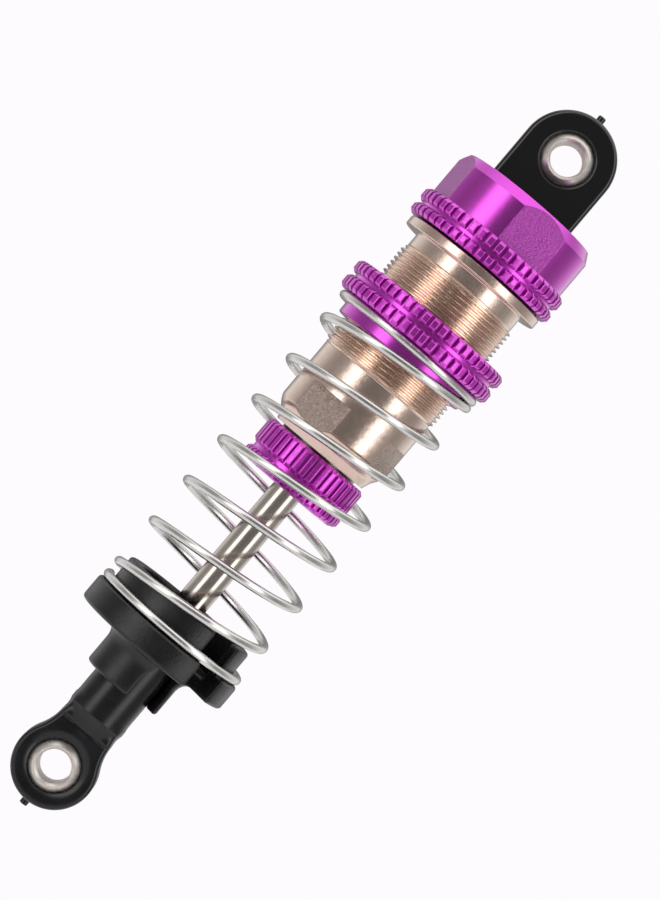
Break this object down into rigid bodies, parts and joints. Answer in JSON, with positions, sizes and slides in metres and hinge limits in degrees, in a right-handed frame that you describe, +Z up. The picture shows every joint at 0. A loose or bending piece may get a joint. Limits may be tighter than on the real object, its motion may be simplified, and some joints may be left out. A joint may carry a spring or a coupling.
{
  "type": "coilover damper",
  "caption": "Small coil-over damper: threaded oil cylinder with screw cap, preload nut, coil spring, sliding rod with spring cup, and ball-jointed eyes at both ends.",
  "frame": {"origin": "centre of the upper eye's ball", "axes": "+Z up along the damper's axis, from the lower eye to the upper eye; both eye bores lie along Y"},
  "size_m": [0.0174, 0.0174, 0.083],
  "materials": {
    "purple_anodised": "satin anodised",
    "champagne_anodised": "satin anodised",
    "black_nylon": "moulded",
    "ball_steel": "polished",
    "rod_steel": "ground and polished",
    "spring_steel": "plated wire",
    "clip_steel": "stamped",
    "black_rubber": "smooth",
    "red_silicone": "smooth",
    "white_acetal": "machined"
  },
  "bodies": {
    "upper_pivot": {"upper_ball": "ball_steel"},
    "damper": {"upper_eyelet": "black_nylon", "screw_cap": "purple_anodised", "cap_o_ring": "black_rubber", "bladder": "black_rubber", "damper_body": "champagne_anodised", "seal_cap": "purple_anodised", "upper_guide": "white_acetal", "upper_shaft_seal": "red_silicone", "seal_spacer": "white_acetal", "lower_shaft_seal": "red_silicone", "lower_guide": "white_acetal"},
    "preload_carrier": {"preload_o_ring": "black_rubber", "spring": "spring_steel"},
    "nut": {"preload_nut": "purple_anodised"},
    "piston_group": {"piston": "white_acetal", "upper_e_clip": "clip_steel", "lower_e_clip": "clip_steel"},
    "rod": {"shaft": "rod_steel", "rod_end": "black_nylon", "spring_cup": "black_nylon"},
    "lower_pivot": {"lower_ball": "ball_steel"}
  },
  "joints": [
    {"name": "upper_swing", "type": "hinge", "parent": "upper_pivot", "child": "damper", "pos_m": [0, 0, 0], "axis": [0, 1, 0], "continuous": true},
    {"name": "preload_travel", "type": "slide", "parent": "damper", "child": "preload_carrier", "axis": [0, 0, 1], "range_m": [-0.0025, 0.003]},
    {"name": "preload_turn", "type": "hinge", "parent": "preload_carrier", "child": "nut", "pos_m": [0, 0, 0], "axis": [0, 0, 1], "range_deg": [-1800, 2160]},
    {"name": "shaft_stroke", "type": "slide", "parent": "preload_carrier", "child": "piston_group", "axis": [0, 0, 1], "range_m": [0, 0.014], "stiffness_N_per_m": 450, "deforming": ["spring"]},
    {"name": "rod_spin", "type": "hinge", "parent": "piston_group", "child": "rod", "pos_m": [0, 0, 0], "axis": [0, 0, 1], "continuous": true},
    {"name": "lower_swing", "type": "hinge", "parent": "rod", "child": "lower_pivot", "pos_m": [0, 0, -0.0732], "axis": [0, 1, 0], "continuous": true}
  ],
  "couplings": [
    {"joint": "preload_turn", "follows": "preload_travel", "rad_per_m": 12566}
  ]
}
